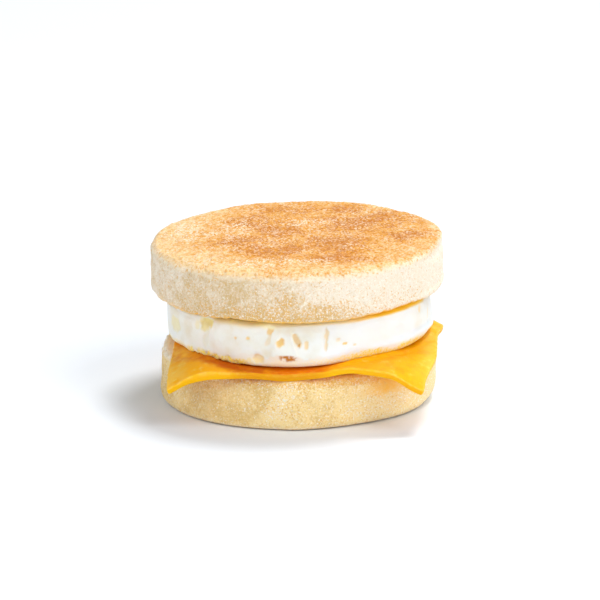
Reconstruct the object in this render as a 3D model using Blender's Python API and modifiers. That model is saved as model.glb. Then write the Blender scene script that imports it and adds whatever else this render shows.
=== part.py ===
"""Breakfast sandwich: a split griddled muffin around a round egg patty and a softened slice of cheese.

Lengths are in metres and +Z is up. The side that is seen most faces -Y.
Four loose pieces lie on one another: muffin heel, cheese slice, egg patty and muffin crown.
"""
import math

import bmesh
import bpy
from mathutils import Vector, noise

MM = 0.001
REST_GAP = 0.4 * MM

# Muffin heel, the lower half, cut side up
HEEL_RADIUS = 44.5 * MM
HEEL_HEIGHT = 17.0 * MM
HEEL_CENTRE_X = 0.6 * MM
HEEL_LOW_ROUND = 2.2 * MM
HEEL_RIGHT_LOW_ROUND = 4.8 * MM
HEEL_HIGH_ROUND = 3.2 * MM
HEEL_TORN_RIM = 1.7 * MM
HEEL_STEPS = 90
LEVEL_SLOPE = 0.022

# Cheese slice, softened by heat and bent down at its corners
SLICE_SIDE = 85.0 * MM
SLICE_THICKNESS = 2.2 * MM
SLICE_TURN = math.radians(-2.8)
SLICE_CENTRE = Vector((3.2, -1.5)) * MM
SLICE_LEFT = -40.5 * MM
SLICE_BEND_START = 42.8 * MM
SLICE_BEND = 0.034 / MM
SLICE_SHARP_START = 43.9 * MM
SLICE_SHARP_BEND = 0.26 / MM
SLICE_HANG = 0.87
SLICE_CORNER_PULL = 3.0 * MM
SLICE_TONGUE = 1.6 * MM
SLICE_CELLS = 26

# Egg patty, set in a ring
EGG_RADIUS = 43.2 * MM
EGG_CENTRE_X = 0.4 * MM
EGG_LOW = 20.0 * MM
EGG_HIGH = 34.3 * MM
EGG_HEIGHT = EGG_HIGH - EGG_LOW
EGG_LOW_ROUND = 2.4 * MM
EGG_RIGHT_LOW_ROUND = 4.4 * MM
EGG_HIGH_ROUND = 2.2 * MM
EGG_RIGHT_HIGH_ROUND = 6.0 * MM
EGG_CHIP = 1.8 * MM
EGG_DOME = 0.7 * MM
EGG_SUNK = 1.3 * MM
EGG_STEPS = 108

# Muffin crown, the upper half, browned side up
CROWN_RADIUS = 47.2 * MM
CROWN_LOW = 35.7 * MM
CROWN_HIGH = 53.0 * MM
CROWN_HEIGHT = CROWN_HIGH - CROWN_LOW
CROWN_LEFT_ROUND = 4.4 * MM
CROWN_RIGHT_ROUND = 2.4 * MM
CROWN_LOW_ROUND = 1.8 * MM
CROWN_FACE_FALL = 0.8 * MM
CROWN_STEPS = 90

# The egg and the crown lift towards the right: height of the lift, where it starts, how far it takes
EGG_LIFT = (1.1 * MM, 0.0 * MM, 30.0 * MM)
CROWN_LIFT = (1.1 * MM, 12.0 * MM, 25.0 * MM)

# Swellings of the outlines: direction and half width in degrees, height in millimetres
HEEL_FOOT_SWELLS = ((-133, 32, 1.9), (-30, 17, 1.3), (-64, 17, -0.9))
HEEL_RIDGE = (-92, 5, 0.6)
CROWN_TOP_SWELLS = ((152, 22, 1.3), (12, 9, 1.3), (38, 11, -0.7), (0, 28, -0.2))

# Ripples of the slice's front edge: place along X, half width, height, in millimetres
SLICE_RIPPLES = ((15.5, 4.0, 0.6), (-4.5, 7.0, -0.6))

# Layers of soft lumps: size in millimetres, height in millimetres, seed
HEEL_CRUMB = ((8.0, 0.45, 1), (4.5, 0.22, 2))
HEEL_TORN = ((3.2, 0.55, 3),)
EGG_SKIN = ((6.0, 0.35, 11), (2.8, 0.25, 12))
CROWN_CRUMB = ((9.0, 0.4, 21), (5.0, 0.22, 22))
CROWN_FACE = ((14.0, 0.5, 23), (6.0, 0.25, 24))

# Hollows and ridges in the egg's wall:
# angle round the wall in degrees, height above the table, half width, half height, depth (a ridge is negative)
EGG_MARKS = (
    (-155.0, 28.0, 1.6, 3.0, 0.7),
    (-132.5, 31.2, 1.9, 2.3, 2.6),
    (-133.2, 26.4, 0.9, 3.4, 1.0),
    (-127.0, 28.6, 3.0, 4.0, -0.8),
    (-108.0, 23.0, 2.2, 1.4, 0.9),
    (-102.8, 30.6, 1.1, 4.0, 1.7),
    (-99.8, 28.6, 1.0, 3.6, -1.0),
    (-97.2, 28.6, 1.5, 1.6, 1.0),
    (-92.4, 28.2, 1.1, 3.0, -0.9),
    (-90.6, 29.2, 1.4, 2.0, 1.6),
    (-86.4, 27.6, 1.4, 1.8, 0.6),
    (-78.2, 29.8, 1.2, 4.0, 1.2),
    (-71.0, 28.0, 1.3, 1.2, 0.7),
    (-40.0, 29.0, 2.4, 2.6, 0.6),
    (-12.0, 27.6, 1.4, 4.2, 0.8),
    (18.0, 29.2, 2.2, 2.0, 0.9),
    (47.0, 27.8, 1.2, 4.0, 1.2),
    (74.0, 29.8, 1.8, 2.2, 1.1),
    (98.0, 28.2, 1.1, 4.4, 1.3),
    (121.0, 29.4, 2.4, 1.8, 0.8),
    (149.0, 28.0, 1.3, 3.6, 1.1),
    (176.0, 29.4, 2.0, 2.4, 0.9),
)


def clear_scene():
    for item in list(bpy.data.objects):
        bpy.data.objects.remove(item, do_unlink=True)


def material(name, colour, roughness):
    """A surface with one colour, given as 0 to 1 values of the shader."""
    surface = bpy.data.materials.new(name)
    surface.use_nodes = True
    shader = surface.node_tree.nodes["Principled BSDF"]
    shader.inputs["Base Color"].default_value = (*colour, 1.0)
    shader.inputs["Roughness"].default_value = roughness
    shader.inputs["Metallic"].default_value = 0.0
    surface.diffuse_color = (*colour, 1.0)
    return surface


def add_piece(name, mesh, surface, collection):
    piece = bpy.data.objects.new(name, mesh)
    collection.objects.link(piece)
    piece.data.materials.append(surface)
    return piece


def settle_modifiers(piece):
    """Turns the piece and its modifiers into one plain closed mesh."""
    bpy.context.view_layer.update()
    evaluated = piece.evaluated_get(bpy.context.evaluated_depsgraph_get())
    solid = bpy.data.meshes.new_from_object(evaluated)
    piece.modifiers.clear()
    piece.data = solid
    work = bmesh.new()
    work.from_mesh(solid)
    bmesh.ops.remove_doubles(work, verts=work.verts, dist=0.01 * MM)
    bmesh.ops.dissolve_degenerate(work, edges=work.edges, dist=0.001 * MM)
    bmesh.ops.recalc_face_normals(work, faces=work.faces)
    work.to_mesh(solid)
    work.free()
    solid.name = piece.name


def smooth(value):
    share = min(max(value, 0.0), 1.0)
    return share * share * (3.0 - 2.0 * share)


def mound(offset, width):
    return math.exp(-(offset / width) ** 2)


def turn_between(angle, other):
    """Signed turn from one direction to another, within half a turn either way."""
    return (angle - other + math.pi) % (2 * math.pi) - math.pi


def swell(angle, degrees, half_width):
    """One soft swelling around the given direction, both in degrees."""
    return mound(math.degrees(turn_between(angle, math.radians(degrees))), half_width)


def swells(angle, entries):
    return sum(swell(angle, degrees, half_width) * height * MM for degrees, half_width, height in entries)


def lumps(place, layers):
    """Soft lumps of several sizes added together."""
    total = 0.0
    for size, height, seed in layers:
        offset = Vector((seed * 7.3, seed * 3.1, seed * 5.7))
        total += noise.noise(Vector(place) / (size * MM) + offset) * height * MM
    return total


def lift(x, amount):
    height, start, length = amount
    return height * smooth((x - start) / length)


def rim_section(radius, height, rounding, face_rings, rim_points, wall_rings):
    """Half section of a rounded disc, from the top of its axis down the outer side to the bottom."""
    flat = radius - rounding
    section = []
    for ring in range(face_rings):
        section.append((flat * math.sqrt(ring / face_rings), height))
    for point in range(rim_points + 1):
        turn = math.pi / 2 * point / rim_points
        section.append((flat + rounding * math.sin(turn), height - rounding * (1 - math.cos(turn))))
    for ring in range(1, wall_rings):
        share = ring / wall_rings
        section.append((radius, height - rounding - (height - 2 * rounding) * share))
    for point in range(rim_points + 1):
        turn = math.pi / 2 * point / rim_points
        section.append((flat + rounding * math.cos(turn), rounding * (1 - math.sin(turn))))
    for ring in range(face_rings - 1, -1, -1):
        section.append((flat * math.sqrt(ring / face_rings), 0.0))
    return section


def turned_disc(name, section, steps, surface, collection):
    """Turns the half section about the upright axis."""
    mesh = bpy.data.meshes.new(name)
    points = [(across, 0.0, up) for across, up in section]
    mesh.from_pydata(points, [(i, i + 1) for i in range(len(points) - 1)], [])
    piece = add_piece(name, mesh, surface, collection)
    screw = piece.modifiers.new("turn", "SCREW")
    screw.axis = "Z"
    screw.angle = 2 * math.pi
    screw.steps = steps
    screw.render_steps = steps
    screw.use_merge_vertices = True
    screw.merge_threshold = 0.01 * MM
    settle_modifiers(piece)
    return piece


def shape_disc(piece, height, rounding, form):
    """Carries each point of a plain rounded disc to its place on the real piece.

    form.rim gives the radius and the low and high rounding at an angle, form.low and form.high the two faces,
    form.relief the small forms on top.
    """
    base_radius = max(vertex.co.xy.length for vertex in piece.data.vertices)
    flat = base_radius - rounding
    for vertex in piece.data.vertices:
        x, y, z = vertex.co
        across = math.hypot(x, y)
        angle = math.atan2(y, x)
        up = z / height
        outer, low_round, high_round = form.rim(angle, up)
        near_round = high_round if up > 0.5 else low_round
        if across <= flat:
            reach = across / flat * (outer - near_round)
        else:
            reach = outer - near_round + (across - flat) / rounding * near_round
        x = form.centre_x + reach * math.cos(angle)
        y = reach * math.sin(angle)
        low = form.low(x, y)
        high = form.high(x, y)
        if z >= height - rounding:
            z = high - high_round * (height - z) / rounding
        elif z <= rounding:
            z = low + low_round * z / rounding
        else:
            share = (z - rounding) / (height - 2 * rounding)
            z = low + low_round + (high - high_round - low - low_round) * share
        side = max(0.0, (across - flat) / rounding)
        vertex.co = form.relief(Vector((x, y, z)), angle, side)


def push_out(place, angle, distance):
    return place + Vector((math.cos(angle), math.sin(angle), 0.0)) * distance


class Heel:
    """Lower muffin half: flat on the table, fuller at its lower left, with a torn rim beside the cheese."""

    centre_x = HEEL_CENTRE_X

    @staticmethod
    def rim(angle, up):
        right = max(0.0, math.cos(angle))
        left = max(0.0, -math.cos(angle))
        front = max(0.0, -math.sin(angle))
        radius = HEEL_RADIUS + (0.5 - 1.1 * up) * left ** 2 * MM
        radius += swells(angle, HEEL_FOOT_SWELLS) * (1 - up)
        radius += swells(angle, (HEEL_RIDGE,)) * smooth(2.5 * (1 - up))
        low_round = HEEL_LOW_ROUND + (HEEL_RIGHT_LOW_ROUND - HEEL_LOW_ROUND) * right ** 2
        return radius, low_round, HEEL_HIGH_ROUND * (0.7 + 0.3 * front)

    @staticmethod
    def low(x, y):
        return 0.0

    @staticmethod
    def high(x, y):
        return HEEL_HEIGHT + LEVEL_SLOPE * x

    @staticmethod
    def relief(place, angle, side):
        height_share = place.z / Heel.high(place.x, place.y)
        off_table = smooth(place.z / (3 * MM))
        torn_band = smooth(height_share * 5 - 3.6)
        crumb = lumps(place, HEEL_CRUMB) * off_table
        holes = abs(lumps(place, HEEL_TORN)) * torn_band
        place = push_out(place, angle, (crumb - 2 * holes) * side)
        beside_slice = SLICE_LEFT - math.tan(SLICE_TURN) * place.y - place.x
        standing = smooth(beside_slice / (2 * MM)) * smooth(2 * side) * torn_band
        place.z += standing * (HEEL_TORN_RIM + 2 * lumps(place, HEEL_TORN))
        return place


def drape(x, y):
    """Lays a flat point of the slice over the heel: level in the middle, bent down past the rim.

    Past the rim the slice follows an arc, then hangs straight. It turns down most sharply at the back right.
    """
    from_middle = Vector((x - HEEL_CENTRE_X, y))
    distance = from_middle.length
    back_right = smooth(swell(math.atan2(y, x), 32, 24) * 1.6)
    bend = SLICE_BEND + (SLICE_SHARP_BEND - SLICE_BEND) * back_right
    start = SLICE_BEND_START + (SLICE_SHARP_START - SLICE_BEND_START) * back_right
    beyond = max(0.0, distance - start)
    on_arc = min(beyond, SLICE_HANG / bend)
    straight = beyond - on_arc
    hang = on_arc * bend
    drop = (1 - math.cos(hang)) / bend + straight * math.sin(hang)
    if beyond > 0.0:
        from_middle *= (start + math.sin(hang) / bend + straight * math.cos(hang)) / distance
    x = HEEL_CENTRE_X + from_middle.x
    y = from_middle.y
    front_corner = smooth((x - 26 * MM) / (16 * MM)) * smooth((-y - 24 * MM) / (18 * MM))
    right_edge = smooth((x - 40 * MM) / (6 * MM)) * mound(y - 8 * MM, 5 * MM)
    x += SLICE_TONGUE * right_edge - SLICE_CORNER_PULL * front_corner
    past_rim = smooth((-y - 42.2 * MM) / (1.8 * MM)) * smooth((30 * MM - abs(x)) / (6 * MM))
    ripple = sum(height * MM * mound(x - place * MM, width * MM) for place, width, height in SLICE_RIPPLES)
    return Vector((x, y, Heel.high(x, y) + REST_GAP - drop + ripple * past_rim))


class Egg:
    """Round egg patty: pale wall with small hollows, domed face, lifted off the cheese at its right."""

    centre_x = EGG_CENTRE_X

    @staticmethod
    def rim(angle, up):
        right = max(0.0, math.cos(angle))
        left = max(0.0, -math.cos(angle))
        radius = EGG_RADIUS - 0.4 * MM * (1 - up) - 0.6 * MM * left ** 3
        radius += 0.2 * MM * math.cos(2 * angle + 0.5) + 0.15 * MM * math.sin(5 * angle + 1)
        low_round = EGG_LOW_ROUND + (EGG_RIGHT_LOW_ROUND - EGG_LOW_ROUND) * smooth(1.6 * right - 0.2)
        low_round += EGG_CHIP * swell(angle, -154, 9)
        return radius, low_round, EGG_HIGH_ROUND + (EGG_RIGHT_HIGH_ROUND - EGG_HIGH_ROUND) * right ** 6

    @staticmethod
    def low(x, y):
        return EGG_LOW + LEVEL_SLOPE * x + lift(x, EGG_LIFT)

    @staticmethod
    def high(x, y):
        reach = math.hypot(x, y) / EGG_RADIUS
        sunk = EGG_SUNK * swell(math.atan2(y, x), -112, 11) * smooth(reach * 5 - 3.7)
        return EGG_HIGH + EGG_DOME * (1 - reach ** 2) + LEVEL_SLOPE * x + 0.3 * lift(x, EGG_LIFT) - sunk

    @staticmethod
    def relief(place, angle, side):
        depth = 0.0
        for degrees, height, half_width, half_height, deep in EGG_MARKS:
            round_offset = turn_between(angle, math.radians(degrees)) * EGG_RADIUS
            if abs(round_offset) < 3 * half_width * MM:
                level = place.z - height * MM
                depth += deep * MM * mound(round_offset, half_width * MM) * mound(level, half_height * MM)
        return push_out(place, angle, side * (lumps(place, EGG_SKIN) - depth))


class Crown:
    """Upper muffin half: rises to the right, rounder at the left, with a soft browned face."""

    centre_x = 0.0

    @staticmethod
    def rim(angle, up):
        left = smooth(0.5 - 0.6 * math.cos(angle))
        radius = CROWN_RADIUS + swells(angle, CROWN_TOP_SWELLS) * up - 0.3 * MM * left * up
        radius += 0.15 * MM * math.cos(3 * angle + 2) + 0.1 * MM * math.sin(5 * angle)
        high_round = CROWN_RIGHT_ROUND + (CROWN_LEFT_ROUND - CROWN_RIGHT_ROUND) * left
        return radius, CROWN_LOW_ROUND * (1.3 - 0.4 * left), high_round

    @staticmethod
    def low(x, y):
        reach = math.hypot(x, y) / CROWN_RADIUS
        raised = 0.5 * MM * swell(math.atan2(y, x), -114, 11) * smooth(reach * 5 - 3.7)
        return CROWN_LOW + LEVEL_SLOPE * x + lift(x, CROWN_LIFT) + raised

    @staticmethod
    def high(x, y):
        fall = CROWN_FACE_FALL * (math.hypot(x, y) / CROWN_RADIUS) ** 4
        return CROWN_HIGH + LEVEL_SLOPE * x - fall

    @staticmethod
    def relief(place, angle, side):
        face = smooth((place.z - CROWN_LOW - 8 * MM) / (6 * MM)) * (1 - side)
        place = push_out(place, angle, lumps(place, CROWN_CRUMB) * side)
        place.z += face * lumps(place, CROWN_FACE)
        return place


def draped_slice(surface, collection):
    """A square grid laid over the heel, turned a little, thickened and with its rim softened."""
    work = bmesh.new()
    bmesh.ops.create_grid(work, x_segments=SLICE_CELLS, y_segments=SLICE_CELLS, size=SLICE_SIDE / 2)
    turn_cos = math.cos(SLICE_TURN)
    turn_sin = math.sin(SLICE_TURN)
    for vertex in work.verts:
        across, away, _ = vertex.co
        x = SLICE_CENTRE.x + across * turn_cos - away * turn_sin
        y = SLICE_CENTRE.y + across * turn_sin + away * turn_cos
        vertex.co = drape(x, y)
    bmesh.ops.recalc_face_normals(work, faces=work.faces)
    mesh = bpy.data.meshes.new("cheese_slice")
    work.to_mesh(mesh)
    work.free()
    piece = add_piece("cheese_slice", mesh, surface, collection)
    thick = piece.modifiers.new("thickness", "SOLIDIFY")
    thick.thickness = SLICE_THICKNESS
    thick.offset = 1.0
    soft = piece.modifiers.new("soft edge", "BEVEL")
    soft.width = 0.6 * MM
    soft.segments = 2
    soft.limit_method = "ANGLE"
    soft.angle_limit = math.radians(50)
    settle_modifiers(piece)
    return piece


def centre_on_table(pieces):
    """Puts the middle of the whole sandwich's box on the upright axis."""
    corners = [vertex.co for piece in pieces for vertex in piece.data.vertices]
    middle_x = (min(c.x for c in corners) + max(c.x for c in corners)) / 2
    middle_y = (min(c.y for c in corners) + max(c.y for c in corners)) / 2
    for piece in pieces:
        for vertex in piece.data.vertices:
            vertex.co.x -= middle_x
            vertex.co.y -= middle_y


def round_piece(name, form, radius, height, rounding, rings, steps, surface, collection):
    """One turned disc carried to its own shape. rings are those of the face, the rim and the wall."""
    section = rim_section(radius, height, rounding, *rings)
    piece = turned_disc(name, section, steps, surface, collection)
    shape_disc(piece, height, rounding, form)
    return piece


def build():
    clear_scene()
    collection = bpy.data.collections.new("breakfast_sandwich")
    bpy.context.scene.collection.children.link(collection)

    crust = material("muffin_heel", (0.86, 0.70, 0.42), 0.85)
    cheese = material("cheese_slice", (0.83, 0.36, 0.02), 0.38)
    white = material("egg_patty", (0.88, 0.82, 0.68), 0.5)
    browned = material("muffin_crown", (0.82, 0.56, 0.30), 0.8)

    heel = round_piece(
        "muffin_heel", Heel, HEEL_RADIUS, HEEL_HEIGHT, 3 * MM, (3, 3, 6), HEEL_STEPS, crust, collection)
    melted = draped_slice(cheese, collection)
    egg = round_piece(
        "egg_patty", Egg, EGG_RADIUS, EGG_HEIGHT, 3 * MM, (3, 3, 6), EGG_STEPS, white, collection)
    crown = round_piece(
        "muffin_crown", Crown, CROWN_RADIUS, CROWN_HEIGHT, 4 * MM, (6, 4, 4), CROWN_STEPS, browned, collection)

    centre_on_table([heel, melted, egg, crown])


build()
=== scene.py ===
import math

import bmesh
import bpy
import numpy as np
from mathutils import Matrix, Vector, noise


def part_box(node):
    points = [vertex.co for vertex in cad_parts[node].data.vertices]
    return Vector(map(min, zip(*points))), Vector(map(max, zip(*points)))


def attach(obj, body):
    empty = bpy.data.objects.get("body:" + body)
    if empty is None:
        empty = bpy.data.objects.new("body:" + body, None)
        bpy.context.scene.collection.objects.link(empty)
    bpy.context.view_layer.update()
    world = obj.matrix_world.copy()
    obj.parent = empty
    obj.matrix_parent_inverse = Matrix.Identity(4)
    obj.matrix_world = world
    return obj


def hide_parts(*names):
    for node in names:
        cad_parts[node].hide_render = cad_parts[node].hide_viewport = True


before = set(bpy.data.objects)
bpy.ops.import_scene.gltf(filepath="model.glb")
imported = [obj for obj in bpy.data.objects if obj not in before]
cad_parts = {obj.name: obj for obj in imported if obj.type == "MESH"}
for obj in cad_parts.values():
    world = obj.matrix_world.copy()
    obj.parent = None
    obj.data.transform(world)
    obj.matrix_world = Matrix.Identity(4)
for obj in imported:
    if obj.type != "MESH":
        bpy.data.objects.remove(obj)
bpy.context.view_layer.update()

# Muffin heel: the lower half of a split breakfast muffin, cut side up, with a rim torn in pulling it open.
# Soft yeast bread, dusted with flour, finely porous on its wall and browned flat underneath.
# It is proved and griddled in a ring, so the wall is pale and upright, and only the flat face takes colour.

# How a skin is welded and smoothed, and how its lumps and pores are placed, in millimetres
MM = 0.001
WELD = 0.01
ROUNDING = 2
RELAXING = 3
UPRIGHT = (0.2, 0.6)
GRAIN_SHIFT = 17.37
PORE_SIZE = 1.2
PORE_SHARE = 0.5
PORE_RADIUS = 0.42
PORE_SHIFT = 9.71
PORE_SCATTER = 5.3

HEEL_CELL = 0.5
HEEL_PORE_DEPTH = 0.22
HEEL_TORN_DEPTH = 0.5
HEEL_RIDGE_RISE = 0.35
HEEL_DENT_DEPTH = 0.5

# The ridge and the dent lean to the right upwards: degrees a millimetre, and the height they turn about
HEEL_LEAN = 0.74
HEEL_LEAN_LEVEL = 9.5

# Layers of soft lumps: height and size in millimetres, and seed
HEEL_LUMPS = ((0.14, 3.4, 1), (0.10, 1.7, 2), (0.10, 0.9, 3))
HEEL_TUFTS = ((0.7, 1.5, 7),)
HEEL_RAGGED = ((0.6, 2.6, 5),)

# Scattered patches: size in millimetres, seed, and the grain where a patch starts and where it is whole
HEEL_TEARS = (1.9, 4, 0.0, 0.5)
HEEL_OPEN_CRUMB = (7.0, 6, -0.3, 0.4)
HEEL_CLOUDS = (8.0, 8, -0.2, 0.5)
HEEL_WHITE_CRUMB = (1.8, 9, -0.5, 0.3)

# Places round the wall: direction in degrees, with -90 at the front, and half width
HEEL_RIDGE = (-97.0, 4.5)
HEEL_DENT = (-110.0, 8.0)
# A tan spot under the cheese's right corner: partly toasted, partly a painted orange reflection of the cheese
HEEL_SCORCHED_AND_REFLECTED_SPOT = (-49.0, 10.0)
HEEL_TOASTED_SIDE = (-58.0, 26.0)

# Heights in millimetres where each thing starts and is whole, or where it starts to fade and ends
HEEL_FOOT = (0.2, 1.2)
HEEL_BROWNED_FOOT = (0.2, 1.5)
HEEL_RIDGE_FROM = (2.0, 6.0)
HEEL_DENT_FROM_TO = (1.0, 5.0, 12.0, 16.0)
HEEL_SPOT_FROM = (8.0, 11.5)
HEEL_TORN_FROM = (13.4, 15.0)
HEEL_TOASTED_FROM = (13.6, 15.4)

# The same for distances from the middle, to one side or all round
HEEL_TORN_LEFT = (20.0, 35.0)
# Where the torn left rim is whitened, partly as painted light
HEEL_WHITE_AND_LIGHT_LEFT = (20.0, 32.0)
# Painted light: the wall is paler toward the right, against the shade of the cheese's corner
HEEL_PAINTED_LIGHT_RIGHT = (6.0, 32.0)
HEEL_SCORCH_REACH = (26.0, 44.0)

CREAM = (217, 182, 116)
PALE_CREAM = (246, 219, 160)
GOLDEN_CRUMB = (224, 171, 80)
FLOUR = (248, 238, 222)
TOASTED = (254, 200, 94)
SKIN_PALE = (249, 232, 204)
SKIN_GOLD = (241, 206, 150)
SKIN_BROWN = (224, 156, 64)
SKIN_DARK = (198, 121, 38)
SKIN_FLOUR = (246, 226, 198)
SKIN_SPECK = (230, 174, 84)


def light_of(colour):
    """A colour given as 0 to 255 screen values, as the linear light that shaders take."""
    parts = [part / 255 for part in colour]
    linear = [part / 12.92 if part <= 0.04045 else ((part + 0.055) / 1.055) ** 2.4 for part in parts]
    return (*linear, 1.0)


def rise(value, low, high):
    """0 below low, 1 above high, and a soft curve between them."""
    share = np.clip((value - low) / (high - low), 0.0, 1.0)
    return share * share * (3.0 - 2.0 * share)


def fall(value, low, high):
    """1 below low, 0 above high, and a soft curve between them."""
    return 1.0 - rise(value, low, high)


def band(value, start, full, fading, end):
    """1 from full to fading, and 0 before start and after end."""
    return rise(value, start, full) * fall(value, fading, end)


def hump(value, middle, half_width):
    """1 at the middle, falling away softly to both sides."""
    return np.exp(-((value - middle) / half_width) ** 2)


def grain(points, size, seed, stretch=(1.0, 1.0, 1.0)):
    """Smooth noise from -1 to 1 at each point, with lumps of that size in millimetres."""
    places = points / (np.array(stretch) * size) + seed * GRAIN_SHIFT
    return np.array([noise.noise(place) for place in places.tolist()])


def lumps(points, layers):
    """Uneven heights in millimetres: layers of grain, each with its height, size and seed."""
    return sum(height * grain(points, size, seed) for height, size, seed in layers)


def scattered(points, size, seed, low, high):
    """1 in scattered patches of that size and 0 between them."""
    return rise(grain(points, size, seed), low, high)


def pores(points, seed):
    """Round pits, 1 at the middle of a pit and 0 outside. Only a share of the crumb's cells holds one."""
    places = points / PORE_SIZE + seed * PORE_SHIFT
    depth = np.zeros(len(places))
    for index, place in enumerate(places.tolist()):
        distances, sites = noise.voronoi(place)
        chance = noise.cell(sites[0] * PORE_SCATTER) * 0.5 + 0.5
        if chance < PORE_SHARE:
            depth[index] = max(0.0, 1.0 - distances[0] / PORE_RADIUS)
    return depth * (2.0 - depth)


def fine_skin(node, name, cell):
    """A close, even mesh over a CAD node, rounded between facets, as a new piece. cell is in millimetres."""
    work = bmesh.new()
    work.from_mesh(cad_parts[node].data)
    bmesh.ops.remove_doubles(work, verts=work.verts, dist=WELD * MM)
    bmesh.ops.join_triangles(
        work, faces=work.faces, angle_face_threshold=math.pi, angle_shape_threshold=math.pi)
    mesh = bpy.data.meshes.new(name)
    work.to_mesh(mesh)
    work.free()
    piece = bpy.data.objects.new(name, mesh)
    bpy.context.scene.collection.objects.link(piece)
    rounded = piece.modifiers.new("rounded", "SUBSURF")
    rounded.levels = ROUNDING
    rounded.render_levels = ROUNDING
    even = piece.modifiers.new("even", "REMESH")
    even.mode = "VOXEL"
    even.voxel_size = cell * MM
    relaxed = piece.modifiers.new("relaxed", "SMOOTH")
    relaxed.iterations = RELAXING
    settle(piece)
    return piece


def settle(piece):
    """Turns the piece's modifiers into plain mesh with soft shading."""
    bpy.context.view_layer.update()
    evaluated = piece.evaluated_get(bpy.context.evaluated_depsgraph_get())
    mesh = bpy.data.meshes.new_from_object(evaluated)
    piece.modifiers.clear()
    piece.data = mesh
    mesh.shade_smooth()


def skin_points(piece):
    """Places and normals of a piece's points: x to the right, y to the back, z up, in millimetres."""
    mesh = piece.data
    places = np.zeros(len(mesh.vertices) * 3)
    mesh.vertices.foreach_get("co", places)
    normals = np.zeros(len(mesh.vertices) * 3, np.float32)
    mesh.vertex_normals.foreach_get("vector", normals)
    return places.reshape(-1, 3) / MM, normals.reshape(-1, 3).astype(float)


def direction(points, middle):
    """The way round that middle to each point, in degrees: 0 at the right, -90 at the front."""
    return np.degrees(np.arctan2(points[:, 1] - middle.y, points[:, 0] - middle.x))


def upright(normals):
    """1 where the surface stands upright, and 0 where it lies flat."""
    return rise(1.0 - np.abs(normals[:, 2]), *UPRIGHT)


def carve(piece, points, normals, heights):
    """Moves each point along its normal by its height in millimetres."""
    carved = (points + normals * heights[:, None]) * MM
    piece.data.vertices.foreach_set("co", carved.ravel())
    piece.data.update()


def mark(piece, name, values):
    """Keeps a number from 0 to 1 at each point, for the material to read."""
    layer = piece.data.attributes.new(name, "FLOAT", "POINT")
    layer.data.foreach_set("value", np.clip(values, 0.0, 1.0).astype(np.float32))


class Wire:
    """One value in a material's node tree. Arithmetic adds Math nodes, and make() adds any other node."""

    def __init__(self, tree, socket=None):
        self.tree = tree
        self.socket = socket

    def make(self, kind, settings=None, sockets=None, out=0):
        """Adds a node: its settings first, then the values or links of its sockets. Gives its output."""
        node = self.tree.nodes.new(kind)
        for key, value in (settings or {}).items():
            setattr(node, key, value)
        for key, value in (sockets or {}).items():
            if isinstance(value, Wire):
                self.tree.links.new(value.socket, node.inputs[key])
            else:
                node.inputs[key].default_value = value
        return Wire(self.tree, node.outputs[out])

    def maths(self, operation, first, second):
        return self.make("ShaderNodeMath", {"operation": operation}, {0: first, 1: second})

    def __add__(self, other):
        return self.maths("ADD", self, other)

    def __radd__(self, other):
        return self.maths("ADD", other, self)

    def __sub__(self, other):
        return self.maths("SUBTRACT", self, other)

    def __rsub__(self, other):
        return self.maths("SUBTRACT", other, self)

    def __mul__(self, other):
        return self.maths("MULTIPLY", self, other)

    def __rmul__(self, other):
        return self.maths("MULTIPLY", other, self)

    def rise(self, low, high):
        """0 below low, 1 above high, and a soft curve between them."""
        return self.make(
            "ShaderNodeMapRange", {"interpolation_type": "SMOOTHSTEP"}, {"Value": self, 1: low, 2: high})

    def blend(self, first, second):
        """The first colour where this value is 0 and the second where it is 1."""
        first = first if isinstance(first, Wire) else light_of(first)
        second = second if isinstance(second, Wire) else light_of(second)
        return self.make("ShaderNodeMix", {"data_type": "RGBA"}, {0: self, 6: first, 7: second}, out=2)

    def kept(self, name):
        """A number that mark() kept on the mesh."""
        return self.make("ShaderNodeAttribute", {"attribute_name": name}, out=2)

    def speckle(self, size, seed, detail=2.0, stretch=(1.0, 1.0, 1.0)):
        """Noise from 0 to 1 over the surface, with lumps of that size in millimetres."""
        place = self.make("ShaderNodeTexCoord", out=3)
        place = self.make("ShaderNodeVectorMath", {"operation": "DIVIDE"}, {0: place, 1: stretch})
        return self.make(
            "ShaderNodeTexNoise", {"noise_dimensions": "4D"},
            {"Vector": place, "W": seed, "Scale": 1 / (size * MM), "Detail": detail})

    def bump(self, height, depth):
        """The normal of a surface with relief of that depth in millimetres."""
        return self.make("ShaderNodeBump", {}, {"Height": height, "Distance": depth * MM, "Strength": 1.0})


def finish(piece, name, paint):
    """Gives the piece a new material. paint takes a tree's Wire and returns the shader's sockets."""
    surface = bpy.data.materials.new(name)
    surface.use_nodes = True
    shader = surface.node_tree.nodes["Principled BSDF"]
    for key, value in paint(Wire(surface.node_tree)).items():
        if isinstance(value, Wire):
            surface.node_tree.links.new(value.socket, shader.inputs[key])
        else:
            shader.inputs[key].default_value = value
    piece.data.materials.clear()
    piece.data.materials.append(surface)


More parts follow.
